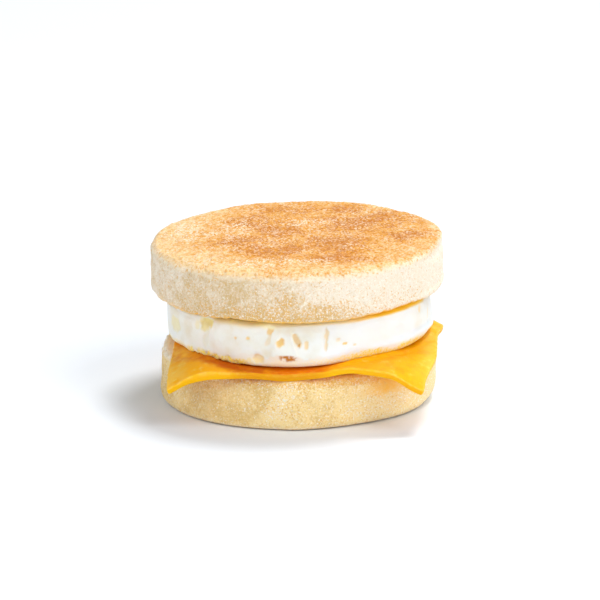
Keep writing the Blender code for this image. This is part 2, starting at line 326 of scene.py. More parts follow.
def bread_wall(wire, dusk, pale):
    """Muffin bread beside the griddled face: mottled cream, golden in its pits, with floury flecks and white
    torn crumb, and painted light where its marks carry it.
    """
    crumb = wire.kept("crumb")
    mottled = 0.5 * wire.speckle(4.0, 1.0, 3.0) + 0.5 * wire.speckle(0.7, 2.0)
    # The flour mark pales the wall: floury patches, and painted light where the wall is lit or lifted out of
    # shade
    colour = (mottled + 0.4 * wire.kept("flour_and_light")).rise(0.30, 0.72).blend(dusk, pale)
    golden = (wire.speckle(0.6, 3.0, 3.0) + 0.17 * crumb).rise(0.56, 0.72)
    colour = (0.75 * golden + 0.15 * wire.kept("pit")).blend(colour, GOLDEN_CRUMB)
    flecked = wire.speckle(0.5, 4.0, 3.0) + 0.05 * crumb + 0.06 * wire.kept("flour_and_light")
    # The torn mark whitens torn crumb; on the heel's shaded left rim it is partly painted light
    colour = (flecked.rise(0.58, 0.70) + 0.85 * wire.kept("torn")).blend(colour, FLOUR)
    return (wire.kept("cut") * (0.45 + wire.speckle(1.1, 5.0))).blend(colour, TOASTED)


def browned_skin(wire):
    """The griddled face: a finely wrinkled brown skin in broad patches, with floury dust left on its ridges.
    """
    broad = 0.35 * wire.speckle(9.0, 6.0, 3.0) + 0.40 * wire.speckle(3.5, 7.0, 3.0)
    broad = broad + 0.50 * wire.kept("scorch") - 0.07
    tone = broad + 0.9 * (wire.speckle(1.2, 8.0, 3.0) - 0.5) + 0.7 * (wire.speckle(0.6, 16.0, 2.0) - 0.5)
    colour = tone.rise(0.25, 0.60).blend(SKIN_GOLD, SKIN_BROWN)
    colour = tone.rise(0.60, 0.85).blend(colour, SKIN_DARK)
    floured = wire.speckle(7.0, 9.0).rise(0.35, 0.65) * 0.5 + 0.3 + 0.7 * wire.kept("flour_and_light")
    return (wire.speckle(0.65, 10.0, 3.0).rise(0.46, 0.64) * floured).blend(colour, SKIN_FLOUR)


def bread(dusk, pale):
    """The finish of a muffin half, from its two wall colours."""

    def paint(wire):
        browned = wire.kept("browned")
        edge = browned + 0.7 * (wire.speckle(1.3, 11.0, 3.0) - 0.5)
        pale_edge = browned.rise(0.0, 0.5) * (0.2 + wire.speckle(2.0, 17.0, 3.0))
        colour = pale_edge.blend(bread_wall(wire, dusk, pale), SKIN_PALE)
        speck = wire.speckle(0.9, 15.0, 2.0, (1.2, 1.1, 1.0)).rise(0.53, 0.66) * browned.rise(0.05, 0.4)
        colour = (0.75 * speck).blend(colour, SKIN_SPECK)
        relief = 0.5 * wire.speckle(0.55, 12.0) + 0.3 * wire.speckle(0.3, 13.0)
        relief = relief + 0.6 * wire.speckle(1.2, 14.0)
        return {
            "Base Color": edge.rise(0.35, 1.00).blend(colour, browned_skin(wire)),
            "Roughness": 0.86,
            "Specular IOR Level": 0.2,
            "Subsurface Weight": 0.12,
            "Subsurface Radius": (1.0, 0.6, 0.35),
            "Subsurface Scale": 0.8 * MM,
            "Normal": wire.bump(relief * (0.6 + 0.5 * wire.kept("crumb") + 0.8 * browned), 0.6),
        }

    return paint


heel = fine_skin("muffin_heel", "heel_bread", HEEL_CELL)
points, normals = skin_points(heel)
x, y, height = points.T
heel_centre = sum(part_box("muffin_heel"), Vector()) / 2 / MM
turn = direction(points, heel_centre)
off_table = rise(height, *HEEL_FOOT)
torn = rise(height, *HEEL_TORN_FROM) * upright(normals)
left_torn = torn * rise(-x, *HEEL_TORN_LEFT)
pit = pores(points, 1) * off_table
leaning = turn - HEEL_LEAN * (height - HEEL_LEAN_LEVEL)
ridge = hump(leaning, *HEEL_RIDGE) * rise(height, *HEEL_RIDGE_FROM)
dent = hump(leaning, *HEEL_DENT) * band(height, *HEEL_DENT_FROM_TO)
heights = lumps(points, HEEL_LUMPS) - HEEL_PORE_DEPTH * pit
heights += HEEL_RIDGE_RISE * ridge - HEEL_DENT_DEPTH * dent
heights -= HEEL_TORN_DEPTH * torn * scattered(points, *HEEL_TEARS)
heights += left_torn * lumps(points, HEEL_TUFTS)
carve(heel, points, normals, heights * off_table)

ragged_height = height + lumps(points, HEEL_RAGGED)
# Partly toasted crumb, partly a painted orange reflection of the cheese above it
scorched_and_reflected = hump(turn, *HEEL_SCORCHED_AND_REFLECTED_SPOT) * rise(ragged_height, *HEEL_SPOT_FROM)
toasted = rise(ragged_height, *HEEL_TOASTED_FROM) * (0.15 + 0.35 * hump(turn, *HEEL_TOASTED_SIDE))
cloudy = 0.1 + 0.2 * scattered(points, *HEEL_CLOUDS)
# Painted light: paler toward the right of the wall
painted_light_right = 0.85 * rise(x, *HEEL_PAINTED_LIGHT_RIGHT)
torn_white_and_light = rise(height, *HEEL_TORN_FROM) * rise(-x, *HEEL_WHITE_AND_LIGHT_LEFT)
mark(heel, "pit", pit)
# The cut mark holds toasted crumb and the spot's painted reflection of the cheese
mark(heel, "cut", np.maximum(toasted, scorched_and_reflected))
mark(heel, "crumb", 0.35 * scattered(points, *HEEL_OPEN_CRUMB) + torn)
# The flour mark holds floury clouds and torn crumb, and painted light: paler on the right and on the ridge,
# darker in the dent
mark(heel, "flour_and_light", left_torn + 0.9 * ridge + cloudy + painted_light_right - 0.5 * dent)
# The torn left rim is whitened: partly its pale torn crumb, partly painted light on a rim in the shade of the
# cheese and crown
mark(heel, "torn", torn_white_and_light * (0.75 + 0.25 * scattered(points, *HEEL_WHITE_CRUMB)))
mark(heel, "browned", fall(ragged_height, *HEEL_BROWNED_FOOT))
mark(heel, "scorch", fall(np.hypot(x, y), *HEEL_SCORCH_REACH))
finish(heel, "muffin_heel_bread", bread(CREAM, PALE_CREAM))
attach(heel, "root")
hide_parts("muffin_heel")

# Cheese slice: one square slice of processed cheese, warmed until its four corners sag over the heel.
# Smooth and satin, with a cut edge that has softened into a thin glossy bead along its upper side.
# It is laid on the heel a little turned, so that one corner shows at each side of the front.

CHEESE_DIVISIONS = 3
CHEESE_FLAT = math.radians(20.0)
RIM_FACE = 6.0
TINY = 1e-6
CHEESE_LUMPS = ((0.05, 5.0, 31), (0.03, 1.8, 32))
BEAD_UNEVEN = ((0.8, 2.2, 33),)
BEAD_RISE = 0.16
BEAD_BEND = (0.25, 0.8)
UPPER_SIDE = (-0.2, 0.3)
TOP_FACE = (0.2, 0.6)
LEFT_CORNER_DROP = 1.3
LEFT_RIM_SWELL = 1.5
MIDDLE_SAG = 0.8
RIGHT_FOLD_LIFT = 1.4
EGG_BED = 0.6
UNDER_EGG = 41.0

# Distances from the middle of the slice where each thing starts and is whole, or starts to fade and ends
HANGING = (36.0, 42.0)
HANGING_FRONT = (8.0, 24.0)
LEFT_CORNER = (34.0, 43.0)
LEFT_CORNER_FRONT = (0.0, 14.0)
RIGHT_FOLD = (6.0, 20.0, 29.0, 37.0)
BED_RING = (34.0, 38.0, 43.0, 45.0)
BRIGHT_RIGHT = (5.0, 32.0)
BRIGHT_LEFT = (22.0, 38.0)
# Where the painted sheen lies on the flaps
SHEEN_LEFT = (32.0, 40.0)
SHEEN_LEFT_FRONT = (6.0, 22.0)
SHEEN_RIGHT = (38.0, 44.0)
# Where the painted shade just in front of the egg reaches, across and out from the egg
PAINTED_SHADE_LEFT = (2.0, 12.0)
PAINTED_SHADE_FROM_EGG = (1.0, 6.0)
# How strongly the painted glint shows on the bead, from the left and from the right
LIT_BEAD_LEFT = (12.0, 30.0)
LIT_BEAD_RIGHT = (8.0, 20.0)

# Places along the front, from left to right, and their half widths
LEFT_SWELL = (-30.0, 7.0)
SHADED_LEFT = (-19.0, 8.0)
MIDDLE_DIP = (-3.0, 9.0)

# A darker orange painted as the egg's shade on the slice
CHEESE_PAINTED_SHADE = (198, 92, 0)
CHEESE_ORANGE = (228, 117, 0)
# Painted light: paler, yellower colours of the top and the side where the flaps are lit, out of the egg's
# shade
CHEESE_PAINTED_LIGHT = (254, 177, 0)
CHEESE_SIDE = (224, 153, 0)
CHEESE_SIDE_PAINTED_LIGHT = (246, 184, 0)
CHEESE_GLINT = (252, 200, 92)
# A pale colour for soft blotches and for the painted sheen
CHEESE_PALE_AND_SHEEN = (255, 206, 92)


def smooth_sheet(node, name, levels):
    """A finely divided copy of a thin CAD node, as a new piece. The narrow faces of its rim are its side."""
    work = bmesh.new()
    work.from_mesh(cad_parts[node].data)
    bmesh.ops.remove_doubles(work, verts=work.verts, dist=WELD * MM)
    bmesh.ops.join_triangles(
        work, faces=work.faces, angle_face_threshold=CHEESE_FLAT, angle_shape_threshold=math.pi)
    side = work.verts.layers.float.new("side")
    for point in work.verts:
        point[side] = float(all(face.calc_area() < RIM_FACE * MM ** 2 for face in point.link_faces))
    mesh = bpy.data.meshes.new(name)
    work.to_mesh(mesh)
    work.free()
    piece = bpy.data.objects.new(name, mesh)
    bpy.context.scene.collection.objects.link(piece)
    divided = piece.modifiers.new("divided", "SUBSURF")
    divided.levels = levels
    divided.render_levels = levels
    settle(piece)
    return piece


def sharpness(piece, points, normals):
    """How strongly the skin bends outward at each point, per millimetre."""
    mesh = piece.data
    ends = np.zeros(len(mesh.edges) * 2, np.int32)
    mesh.edges.foreach_get("vertices", ends)
    first, second = ends.reshape(-1, 2).T
    offset = points[second] - points[first]
    length_squared = np.maximum((offset ** 2).sum(1), TINY)
    bend = ((normals[second] - normals[first]) * offset).sum(1) / length_squared
    strongest = np.zeros(len(points))
    np.maximum.at(strongest, first, bend)
    np.maximum.at(strongest, second, bend)
    return strongest


def cheese_paint(wire):
    """Processed cheese: even orange, paler in soft patches, yellower on its side, glossy on its bead, with
    painted shade just in front of the egg, painted light on the open flaps, and a painted sheen and glint.
    """
    bead = wire.kept("bead")
    # The light mark paints light: paler and yellower away from the egg's shade and on the lit flaps
    cloud = 0.5 * wire.speckle(7.0, 21.0, 3.0) + 0.4 * wire.speckle(2.5, 25.0, 3.0) + 0.5 * wire.kept("light")
    # Painted shade: a deeper orange just in front of the egg
    shade = wire.kept("painted_shade").blend(CHEESE_ORANGE, CHEESE_PAINTED_SHADE)
    body = cloud.rise(0.40, 0.85).blend(shade, CHEESE_PAINTED_LIGHT)
    blotch = wire.speckle(3.2, 26.0, 3.0).rise(0.58, 0.68) * wire.kept("light")
    # Painted sheen on the flaps, and pale blotches only where the slice is painted lit
    sheen = wire.kept("sheen") * wire.speckle(5.0, 28.0).rise(0.3, 0.6)
    body = (0.6 * blotch + sheen).blend(body, CHEESE_PALE_AND_SHEEN)
    # The side too is painted paler and yellower where the light mark lies
    side = wire.kept("light").rise(0.1, 0.9).blend(CHEESE_SIDE, CHEESE_SIDE_PAINTED_LIGHT)
    body = wire.kept("side").rise(0.3, 0.9).blend(body, side)
    # Painted glint: a pale highlight along the softened bead
    body = (bead * (0.2 + wire.speckle(2.0, 24.0).rise(0.35, 0.65))).blend(body, CHEESE_GLINT)
    relief = wire.speckle(3.0, 22.0, 3.0) + 0.25 * wire.speckle(0.7, 23.0)
    return {
        "Base Color": body,
        "Roughness": 0.36 + 0.2 * wire.speckle(2.0, 27.0, 3.0) - 0.1 * bead,
        "Specular IOR Level": 0.14,
        "Subsurface Weight": 0.4,
        "Subsurface Radius": (1.0, 0.5, 0.06),
        "Subsurface Scale": 3.0 * MM,
        "Normal": wire.bump(relief, 0.25),
    }


cheese = smooth_sheet("cheese_slice", "cheese", CHEESE_DIVISIONS)
points, normals = skin_points(cheese)
x, y = points[:, 0], points[:, 1]
upper_side = rise(normals[:, 2], *UPPER_SIDE)
bead = rise(sharpness(cheese, points, normals), *BEAD_BEND) * upper_side
heights = lumps(points, CHEESE_LUMPS)
heights += BEAD_RISE * bead * (0.6 + lumps(points, BEAD_UNEVEN))
points[:, 2] -= LEFT_CORNER_DROP * rise(-x, *LEFT_CORNER) * rise(-y, *LEFT_CORNER_FRONT)
from_middle = np.hypot(x, y)
hanging = rise(from_middle, *HANGING) * rise(-y, *HANGING_FRONT)
fold = RIGHT_FOLD_LIFT * band(x, *RIGHT_FOLD)
sag = MIDDLE_SAG * hump(x, *MIDDLE_DIP)
swell = LEFT_RIM_SWELL * hump(x, *LEFT_SWELL) * (0.4 + 0.6 * upper_side)
points[:, 2] += hanging * (fold - sag + swell)
points[:, 2] += EGG_BED * band(from_middle, *BED_RING) * rise(normals[:, 2], *TOP_FACE)
carve(cheese, points, normals, heights)

# Painted light: the slice turns paler and yellower away from the egg's shade and toward the lit flaps at both
# sides
right = rise(x, *BRIGHT_RIGHT)
left = rise(-x, *BRIGHT_LEFT)
from_egg = from_middle - UNDER_EGG + 9.0 * right - 3.2 * left - 2.0 * hump(x, *SHADED_LEFT)
light = np.maximum(rise(from_egg, 1.0, 8.5 - 3.5 * right - 2.5 * left), 0.35 * left)
# Painted sheen: a pale shine on the front left corner of the flap and along the far right
left_sheen = 0.7 * rise(-x, *SHEEN_LEFT) * rise(-y, *SHEEN_LEFT_FRONT)
# Painted highlight: the bead's glint is strongest at the left and right
lit_bead = 0.18 + 0.45 * rise(-x, *LIT_BEAD_LEFT) + 0.3 * rise(x, *LIT_BEAD_RIGHT)
mark(cheese, "bead", bead * lit_bead)
mark(cheese, "light", light * (1.0 - 0.35 * right))
mark(cheese, "sheen", left_sheen + 0.5 * rise(x, *SHEEN_RIGHT))
# Painted shade: a deep orange band in the egg's shadow along its front, weaker toward the left
mark(cheese, "painted_shade", rise(-x, *PAINTED_SHADE_LEFT) * (1.0 - 0.85 * left) * fall(from_egg, *PAINTED_SHADE_FROM_EGG))
finish(cheese, "processed_cheese", cheese_paint)
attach(cheese, "root")
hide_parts("cheese_slice")

# Egg patty: beaten egg white and a little yolk, set in a steel ring on the griddle.
# A smooth moist wall with the hollows, folds and burst bubbles of the ring, and a thin golden crust below.
# Each hollow and ridge is placed by its direction round the wall and its height above the table.

EGG_CELL = 0.42
EGG_RADIUS = 43.0
STACK_TILT = 0.022
EGG_CHIP_DEPTH = 0.8
EGG_CORNER = 1.4
EGG_BRIM = 1.5
EGG_LIP = 0.8
EGG_RIGHT_LIFT = 1.3
EGG_CRUST_TOP = 23.4
EGG_CRUST_FADE = 1.2
EGG_LUMPS = ((0.07, 4.0, 41), (0.05, 1.6, 42))
EGG_UNEVEN = ((0.35, 1.5, 47), (0.15, 0.8, 50))
EGG_CHIPS = ((1.0, 1.8, 44), (0.5, 0.9, 49))
EGG_CHIPPED_FROM = (-0.2, 0.4)
EGG_CRUST_RAGGED = ((1.1, 2.4, 43), (0.6, 1.0, 48))
EGG_THIN_RAGGED = ((1.4, 3.0, 45), (0.5, 1.2, 51))
EGG_GOLD_RAGGED = ((0.4, 2.0, 52),)
EGG_SPOT_SPECKS = (1.0, 46, -0.5, -0.05)

# Stretches of the wall: directions in degrees where each starts, is whole, starts to fade and ends
EGG_CHIPPED = (-150.0, -143.0, -116.0, -110.0)
EGG_RIGHT_RIM = (-74.0, -60.0, 0.0, 20.0)
EGG_RIGHT_CORNER = (-70.0, -35.0, 30.0, 60.0)
EGG_FRONT_LEFT = (-128.0, -120.0, -104.0, -96.0)
EGG_FAR_LEFT = (-172.0, -160.0, -128.0, -120.0)
EGG_FRONT_RIGHT = (-104.0, -96.0, -26.0, -8.0)

# Directions where a thing starts and is whole, or where it starts to fade and ends
EGG_HIGHER_BRIM = (-75.0, -55.0)
# Where the painted cool light low on the wall lies
EGG_LOW_RIGHT = (-90.0, -65.0)
EGG_LOW_FRONT = (-118.0, -106.0)
EGG_LOW_END = (-20.0, 10.0)

# The thin front: its direction and half width. The hollows left of the pale side are burst bubbles
EGG_FRONT = (-96.0, 16.0)
EGG_PALE_SIDE = -130.0

# How far the surface faces up or down, for its low corner, its brim, its flat faces and its golden top
EGG_CORNER_SLOPE = (0.05, 0.45, 0.75, 0.95)
EGG_BRIM_SLOPE = (0.3, 0.8)
EGG_FLAT_SLOPE = (0.55, 0.9)
EGG_GOLD_SLOPE = (0.60, 0.75)

# Heights where each thing starts and is whole, or where it starts to fade and ends
EGG_LIP_FROM = (27.0, 34.0)
EGG_LIFT_TO = (22.0, 29.0)
EGG_THIN_TO = (23.7, 24.4)
EGG_LOW_RIGHT_TO = (23.5, 27.5)
EGG_LOW_FRONT_TO = (22.0, 24.0)
EGG_GOLDEN_RIM_FROM = (32.3, 33.0)

# The same for distances from the middle, to one side or all round
EGG_NEAR_RIM = (36.0, 40.0)
EGG_LIFT_RIGHT = (6.0, 22.0)
EGG_LIFT_FRONT = (2.0, 14.0)
EGG_COOL_RIGHT = (-8.0, 20.0)
EGG_WARM_END = (34.0, 41.0)
EGG_GOLD_RIGHT = (10.0, 26.0)

EGG_WHITE = (238, 237, 229)
EGG_COOL = (238, 242, 243)
EGG_WARM = (230, 222, 201)
EGG_HOLLOW = (250, 211, 128)
EGG_BUBBLE = (242, 227, 160)
EGG_CRUST = (255, 224, 104)
EGG_PINK = (238, 219, 198)
EGG_SPOT = (190, 113, 4)
EGG_FACE = (255, 246, 202)
EGG_PAINTED_LIGHT_LOW = (234, 244, 255)
EGG_GOLD = (255, 204, 48)

# Direction in degrees, height, half width, half height, lean to the right upwards, depth, yellow tone
EGG_HOLLOWS = (
    (-159.0, 27.2, 4.4, 2.4, 0.0, 0.3, 0.6),
    (-133.6, 32.6, 2.9, 2.4, 0.0, 0.6, 1.0),
    (-135.2, 31.0, 1.6, 2.0, 0.2, 0.6, 0.8),
    (-134.2, 26.4, 1.2, 2.6, 0.1, 0.4, 0.1),
    (-139.3, 30.6, 1.0, 1.6, 0.0, 0.2, 0.4),
    (-118.1, 29.1, 0.5, 0.5, 0.0, 0.3, 0.7),
    (-112.3, 29.4, 0.6, 0.6, 0.0, 0.3, 0.8),
    (-108.0, 22.8, 1.9, 1.4, 0.0, 0.6, 0.5),
    (-102.3, 32.4, 1.1, 1.7, 0.35, 0.6, 0.8),
    (-103.2, 29.6, 0.8, 2.4, 0.35, 0.3, 0.3),
    (-98.2, 28.7, 1.2, 1.4, 0.15, 0.7, 0.9),
    (-91.0, 29.4, 1.0, 2.0, -0.4, 0.9, 0.6),
    (-90.0, 27.6, 0.4, 0.5, 0.0, 0.5, 1.0),
    (-87.2, 27.8, 0.8, 1.3, 0.0, 0.4, 0.6),
    (-78.3, 31.0, 0.7, 2.2, 0.0, 0.6, 0.5),
    (-78.6, 27.6, 0.5, 2.2, 0.0, 0.5, 0.45),
    (-73.3, 29.2, 0.7, 0.7, 0.0, 0.3, 0.4),
    (-70.4, 27.7, 0.8, 0.4, 0.4, 0.3, 0.9),
    (-65.9, 26.9, 0.5, 0.4, 0.0, 0.2, 0.6),
    (-25.0, 33.4, 1.0, 1.6, 0.2, 0.1, 0.6),
    (-13.9, 28.5, 1.0, 2.2, 0.2, 0.1, 0.5),
    (18.0, 29.2, 2.0, 1.8, 0.1, 0.6, 0.7),
    (47.0, 27.8, 0.8, 3.6, -0.1, 0.9, 0.6),
    (60.0, 30.5, 0.5, 0.6, 0.0, 0.4, 0.8),
    (74.0, 29.8, 1.6, 2.0, 0.2, 0.8, 0.9),
    (98.0, 28.2, 0.8, 4.0, 0.2, 1.0, 0.6),
    (108.0, 26.5, 0.6, 0.5, 0.0, 0.3, 0.8),
    (121.0, 29.4, 2.2, 1.6, 0.0, 0.5, 0.9),
    (149.0, 28.0, 0.9, 3.2, -0.2, 0.8, 0.6),
    (176.0, 29.4, 1.8, 2.2, 0.0, 0.6, 0.9),
)
# The same for the ridges, with how far each stands out
EGG_RIDGES = (
    (-127.2, 29.6, 2.2, 3.2, 0.0, 0.5),
    (-130.4, 30.0, 0.7, 3.0, 0.4, 0.7),
    (-99.9, 28.4, 0.7, 3.2, 0.3, 0.6),
    (-92.8, 28.6, 0.6, 3.2, -0.3, 0.55),
    (-80.3, 29.0, 0.8, 3.6, 0.0, 0.2),
    (52.0, 28.0, 0.8, 3.4, 0.1, 0.4),
    (103.0, 28.6, 0.8, 3.6, 0.2, 0.5),
)
EGG_SCORCHED_SPOT = (-95.0, 23.4, 2.6, 1.0, 0.0)

# Distances from a mark's middle where it starts to fade and where it ends, with 1 at its edge
HOLLOW_EDGE = (0.6, 1.3)
TINT_EDGE = (0.8, 1.2)
SPOT_EDGE = (0.8, 1.3)


def wall_offset(turn, height, degrees, level, half_width, half_height, lean):
    """Distance from the middle of a mark on the patty's wall, 1 at the mark's edge."""
    apart = (turn - degrees + 180.0) % 360.0 - 180.0
    up = height - level
    across = np.radians(apart) * EGG_RADIUS - lean * up
    return np.hypot(across / half_width, up / half_height)


def egg_paint(wire):
    """Set egg: white and faintly warm, yellow in its hollows, pinkish where thin, with a golden crust, and a
    painted cool light low on the wall beside the cheese.
    """
    cloud = wire.speckle(6.0, 41.0, 3.0)
    fine = wire.speckle(0.7, 42.0)
    white = cloud.rise(0.40, 0.75).blend(EGG_WHITE, EGG_WARM)
    white = (wire.kept("cool") * 0.8).blend(white, EGG_COOL)
    # Painted light: a cool pale tint low on the wall, against the warm light the cheese reflects there
    white = wire.kept("low").blend(white, EGG_PAINTED_LIGHT_LOW)
    white = (wire.kept("thin") * (0.5 + 0.8 * cloud)).blend(white, EGG_PINK)
    white = wire.kept("bubble").blend(white, EGG_BUBBLE)
    white = wire.kept("hollow").blend(white, EGG_HOLLOW)
    white = wire.kept("face").blend(white, EGG_FACE)
    white = wire.kept("gold").blend(white, EGG_GOLD)
    white = (wire.kept("crust") * (0.35 + fine.rise(0.35, 0.6))).blend(white, EGG_CRUST)
    white = wire.kept("spot").blend(white, EGG_SPOT)
    relief = wire.speckle(1.6, 43.0, 3.0)
    return {
        "Base Color": white,
        "Roughness": 0.45,
        "Specular IOR Level": 0.4,
        "Subsurface Weight": 0.55,
        "Subsurface Radius": (1.0, 0.86, 0.66),
        "Subsurface Scale": 2.4 * MM,
        "Normal": wire.bump(relief, 0.1),
    }


egg = fine_skin("egg_patty", "egg", EGG_CELL)
points, normals = skin_points(egg)
x, y, height = points.T
egg_centre = sum(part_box("egg_patty"), Vector()) / 2 / MM
turn = direction(points, egg_centre)
level = height - STACK_TILT * x
wall = upright(normals)
heights = lumps(points, EGG_LUMPS)
uneven = lumps(points, EGG_UNEVEN)
hollow = np.zeros(len(points))
bubble = np.zeros(len(points))
for degrees, up, half_width, half_height, lean, depth, tone in EGG_HOLLOWS:
    offset = uneven + wall_offset(turn, height, degrees, up, half_width, half_height, lean)
    heights -= depth * fall(offset, *HOLLOW_EDGE) * wall
    tinted = bubble if degrees < EGG_PALE_SIDE else hollow
    np.maximum(tinted, tone * fall(offset, *TINT_EDGE) * wall, out=tinted)
for degrees, up, half_width, half_height, lean, stands_out in EGG_RIDGES:
    offset = uneven + wall_offset(turn, height, degrees, up, half_width, half_height, lean)
    heights += stands_out * hump(offset, 0.0, 1.0) * wall

chipped = band(turn, *EGG_CHIPPED)
right_rim = band(turn, *EGG_RIGHT_RIM)
crust_top = EGG_CRUST_TOP + 0.3 * right_rim
crust_edge = level + lumps(points, EGG_CRUST_RAGGED) * (1.0 - 0.4 * right_rim)
low_rim = fall(crust_edge, crust_top - EGG_CRUST_FADE, crust_top)
heights -= EGG_CHIP_DEPTH * low_rim * chipped * rise(lumps(points, EGG_CHIPS), *EGG_CHIPPED_FROM)
heights += EGG_CORNER * band(turn, *EGG_RIGHT_CORNER) * band(-normals[:, 2], *EGG_CORNER_SLOPE)
front_left = band(turn, *EGG_FRONT_LEFT)
front_right = band(turn, *EGG_FRONT_RIGHT) * (0.6 + 0.5 * rise(turn, *EGG_HIGHER_BRIM))
near_rim = rise(np.hypot(x - egg_centre.x, y - egg_centre.y), *EGG_NEAR_RIM)
brim = EGG_BRIM * front_left + np.maximum(front_right, 0.6 * band(turn, *EGG_FAR_LEFT))
heights += brim * near_rim * rise(normals[:, 2], *EGG_BRIM_SLOPE)
heights += EGG_LIP * front_left * rise(height, *EGG_LIP_FROM) * wall
right_front = rise(x, *EGG_LIFT_RIGHT) * rise(-y, *EGG_LIFT_FRONT)
points[:, 2] += EGG_RIGHT_LIFT * right_front * fall(height, *EGG_LIFT_TO) * wall
carve(egg, points, normals, heights)

front = hump(turn, *EGG_FRONT)
thin_edge = level + lumps(points, EGG_THIN_RAGGED)
low_right = rise(turn, *EGG_LOW_RIGHT) * fall(level, *EGG_LOW_RIGHT_TO)
low_front = rise(turn, *EGG_LOW_FRONT) * fall(level, *EGG_LOW_FRONT_TO)
spot = fall(uneven + wall_offset(turn, height, *EGG_SCORCHED_SPOT), *SPOT_EDGE)
golden_rim = front_left * rise(height + lumps(points, EGG_GOLD_RAGGED), *EGG_GOLDEN_RIM_FROM)
flat = rise(np.abs(normals[:, 2]), *EGG_FLAT_SLOPE)
mark(egg, "cool", rise(x, *EGG_COOL_RIGHT) * (1.0 - 0.8 * rise(x, *EGG_WARM_END)))
mark(egg, "hollow", hollow)
mark(egg, "bubble", bubble)
mark(egg, "thin", front * fall(thin_edge, *EGG_THIN_TO))
# Painted light: a cool pale tint low on the right and front of the wall, offsetting the cheese's warm
# reflected light
mark(egg, "low", 0.8 * np.maximum(low_right, low_front) * fall(turn, *EGG_LOW_END))
mark(egg, "crust", low_rim * (0.45 + 0.55 * np.maximum(chipped, right_rim)) * (1.0 - 0.7 * front))
mark(egg, "spot", spot * scattered(points, *EGG_SPOT_SPECKS))
mark(egg, "face", np.maximum(0.6 * flat, golden_rim))
mark(egg, "gold", rise(normals[:, 2], *EGG_GOLD_SLOPE) * rise(x, *EGG_GOLD_RIGHT))
finish(egg, "cooked_egg", egg_paint)
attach(egg, "root")
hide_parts("egg_patty")

# Muffin crown: the upper half of the same muffin, laid on last with its griddled face up.
# The flat face is a thin browned skin, mottled and floured, and the wall below it is pale, porous bread.
# The brown ends in a ragged line just over the edge, where the dough left the griddle.

CROWN_CELL = 0.5
CROWN_PORE_DEPTH = 0.2
CROWN_CREASE_DEPTH = 0.22
CROWN_WRINKLE_DEPTH = 0.24
CROWN_TORN_DEPTH = 0.5
CROWN_TORN_ENDS = 1.0
CROWN_STREAK_RISE = 0.3
CROWN_RIGHT_CORNER = 0.4
CROWN_LEFT_CORNER = 0.6
CROWN_LOW_CORNER = 0.9
CROWN_LEFT_FALL = 0.4
CROWN_RIGHT_TAPER = 0.7
CROWN_FRONT_LIFT = 0.4
CROWN_LUMPS = ((0.12, 3.2, 51), (0.10, 1.6, 52), (0.10, 0.9, 53))
CROWN_FACE_LUMPS = ((0.12, 1.1, 62),)
CROWN_CREASED = (9.0, 55, -0.1, 0.4)
CROWN_TEARS = (1.9, 56, 0.05, 0.5)
CROWN_TOASTED = (3.0, 58, -0.1, 0.4)
CROWN_OPEN_CRUMB = (7.0, 63, -0.2, 0.4)
CROWN_STREAKS = (8.0, 67, -0.2, 0.4)

# The ragged edge of the brown: its height, its climb to the right, its softness and its reach inwards
BROWN_LINE = 50.8
BROWN_LINE_CLIMB = 0.034
BROWN_LINE_RAGGED = ((0.5, 5.0, 59), (0.3, 1.6, 60))
BROWN_FADE_BELOW = 2.4
BROWN_FADE_ABOVE = 1.4
BROWN_GOLDEN_CORNER = 0.9
BROWN_MIDDLE = Vector((5.0, -1.0))
BROWN_REACH = (27.0, 54.0)
BROWN_REACH_RAGGED = ((6.0, 8.0, 66),)

# Places round the wall: direction in degrees and half width
CROWN_OVER_FOLD = (-112.0, 14.0)
CROWN_CRUMB_LINE = (-103.0, 12.0)
CROWN_FRONT = (-95.0, 38.0)
CROWN_COARSE = (-94.0, 7.0)
CROWN_FRONT_STREAKS = (-83.0, 9.0)
CROWN_GOLDEN_CORNER = (-14.0, 9.0)

# Heights where each thing starts and is whole, or where it starts to fade and ends
CROWN_LOW_RIM = (36.4, 38.6)
CROWN_CRUMB_LINE_TO = (36.0, 37.2)
CROWN_LIFT_TO = (36.5, 39.5)
CROWN_CRUMB_TO = (39.0, 45.0)
CROWN_COARSE_TO = (44.0, 48.0)
CROWN_STREAKED = (38.0, 41.0, 47.0, 49.0)
CROWN_FALL_FROM = (42.0, 51.0)
CROWN_TAPER_FROM = (47.0, 50.5)

# The same for distances to the right or to the left
CROWN_ENDS = (34.0, 43.0)
CROWN_RIGHT_SHOULDER = (30.0, 42.0)
CROWN_LEFT_SHOULDER = (34.0, 44.0)
CROWN_LEFT_SIDE = (26.0, 44.0)
CROWN_RIGHT_SIDE = (38.0, 46.0)
# Painted light: where the wall turns paler toward its lit right and on its dull left
CROWN_PAINTED_LIGHT_RIGHT = (-15.0, 30.0)
CROWN_PAINTED_LIGHT_LEFT = (30.0, 44.0)

# How far the surface faces up or down, for its rounded corners, its face and its underside
CROWN_CORNER_SLOPE = (0.05, 0.4, 0.8, 0.97)
CROWN_FACE_SLOPE = (0.55, 0.9)
CROWN_UNDER_SLOPE = (0.5, 0.9)

